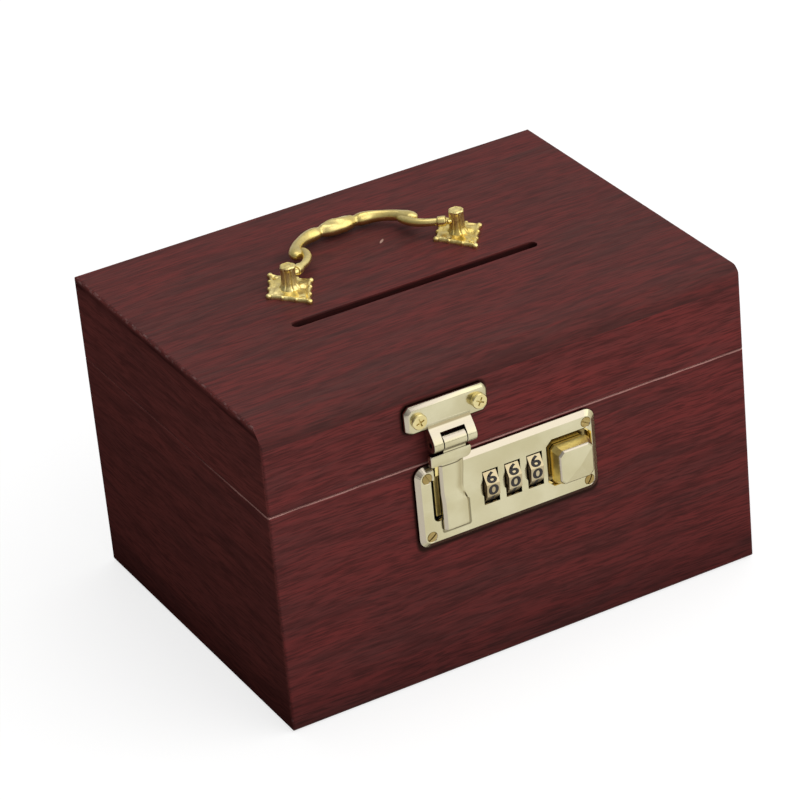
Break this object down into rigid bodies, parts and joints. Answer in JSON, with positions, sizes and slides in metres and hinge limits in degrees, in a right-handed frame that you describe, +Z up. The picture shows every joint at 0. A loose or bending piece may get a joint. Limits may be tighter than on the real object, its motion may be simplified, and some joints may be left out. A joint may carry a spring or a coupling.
{
  "type": "money box",
  "caption": "Wooden money box: hinged lid with a coin slot and a folding carry handle, hasp and number-wheel lock on the front.",
  "frame": {"origin": "middle of the underside, on the surface the box stands on", "axes": "+X to the box's right along its long front, +Y from the lock's face to the hinges at the back, +Z up"},
  "size_m": [0.2, 0.1635, 0.1355],
  "materials": {
    "stained_wood": "satin mahogany stain with fine grain",
    "raw_wood": "matt bare wood",
    "pale_brass": "satin pale brass plating",
    "warm_brass": "satin brass",
    "gold_brass": "bright cast brass",
    "steel": "plain zinc-plated steel"
  },
  "bodies": {
    "case": {"case_front": "stained_wood", "case_back": "stained_wood", "case_left": "stained_wood", "case_right": "stained_wood", "case_bottom": "raw_wood", "left_hinge_case_leaf": "warm_brass", "right_hinge_case_leaf": "warm_brass", "left_hinge_pin": "steel", "right_hinge_pin": "steel", "case_hinge_screws": "warm_brass", "lock_plate": "pale_brass", "lock_housing": "steel", "lock_screws": "warm_brass", "housing_screws": "steel", "wheel_shaft": "steel", "detent_spring": "steel"},
    "lid": {"lid_front": "stained_wood", "lid_back": "stained_wood", "lid_left": "stained_wood", "lid_right": "stained_wood", "lid_top": "stained_wood", "left_hinge_lid_leaf": "warm_brass", "right_hinge_lid_leaf": "warm_brass", "lid_hinge_screws": "warm_brass", "hasp_plate": "pale_brass", "hasp_pin": "steel", "hasp_screws": "warm_brass", "left_rosette": "gold_brass", "right_rosette": "gold_brass", "left_post": "gold_brass", "right_post": "gold_brass", "post_washers": "steel", "post_nuts": "steel", "rosette_nails": "warm_brass"},
    "hasp": {"hasp_arm": "pale_brass"},
    "handle": {"handle_bail": "gold_brass"},
    "wheel_1": {"number_wheel_1": "pale_brass", "code_sleeve_1": "warm_brass"},
    "wheel_2": {"number_wheel_2": "pale_brass", "code_sleeve_2": "warm_brass"},
    "wheel_3": {"number_wheel_3": "pale_brass", "code_sleeve_3": "warm_brass"},
    "release": {"lock_button": "pale_brass", "bolt_slide": "steel", "button_screw": "steel"}
  },
  "joints": [
    {"name": "lid_hinge", "type": "hinge", "parent": "case", "child": "lid", "pos_m": [0, 0.0773, 0.09035], "axis": [-1, 0, 0], "range_deg": [0, 100]},
    {"name": "hasp_hinge", "type": "hinge", "parent": "lid", "child": "hasp", "pos_m": [-0.027, -0.0796, 0.0992], "axis": [-1, 0, 0], "range_deg": [0, 125]},
    {"name": "handle_hinge", "type": "hinge", "parent": "lid", "child": "handle", "pos_m": [-0.0045, 0.0127, 0.1315], "axis": [1, 0, 0], "range_deg": [0, 192]},
    {"name": "wheel_1_spin", "type": "hinge", "parent": "case", "child": "wheel_1", "pos_m": [-0.0121, -0.0722, 0.0732], "axis": [1, 0, 0], "continuous": true},
    {"name": "wheel_2_spin", "type": "hinge", "parent": "case", "child": "wheel_2", "pos_m": [-0.0028, -0.0722, 0.0732], "axis": [1, 0, 0], "continuous": true},
    {"name": "wheel_3_spin", "type": "hinge", "parent": "case", "child": "wheel_3", "pos_m": [0.0065, -0.0722, 0.0732], "axis": [1, 0, 0], "continuous": true},
    {"name": "button_slide", "type": "slide", "parent": "case", "child": "release", "axis": [-1, 0, 0], "range_m": [0, 0.0014]}
  ]
}
